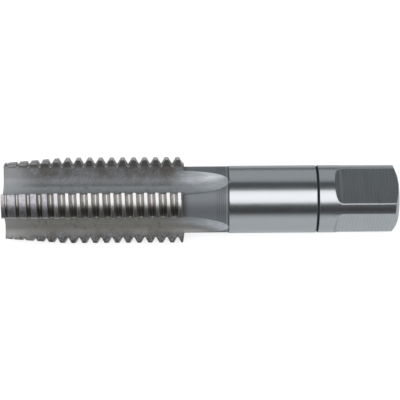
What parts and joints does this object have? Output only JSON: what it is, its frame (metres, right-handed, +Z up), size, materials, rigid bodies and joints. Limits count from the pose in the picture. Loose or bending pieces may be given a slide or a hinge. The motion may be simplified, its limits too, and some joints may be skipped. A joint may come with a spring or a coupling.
{
  "type": "hand tap",
  "caption": "Straight-fluted right-hand hand tap with a tapered lead, plain round shank with a ring groove, and a drive square, for cutting an internal screw thread.",
  "frame": {"origin": "on the tap's axis, in the plane of its cutting tip", "axes": "+X along the axis from the cutting tip to the drive square, +Z up as the tap lies on two of its lands, +Y away from the picture's camera"},
  "size_m": [0.107, 0.0208, 0.0208],
  "materials": {
    "tool_steel": "ground"
  },
  "bodies": {
    "root": {"thread_tap": "tool_steel"}
  },
  "joints": []
}
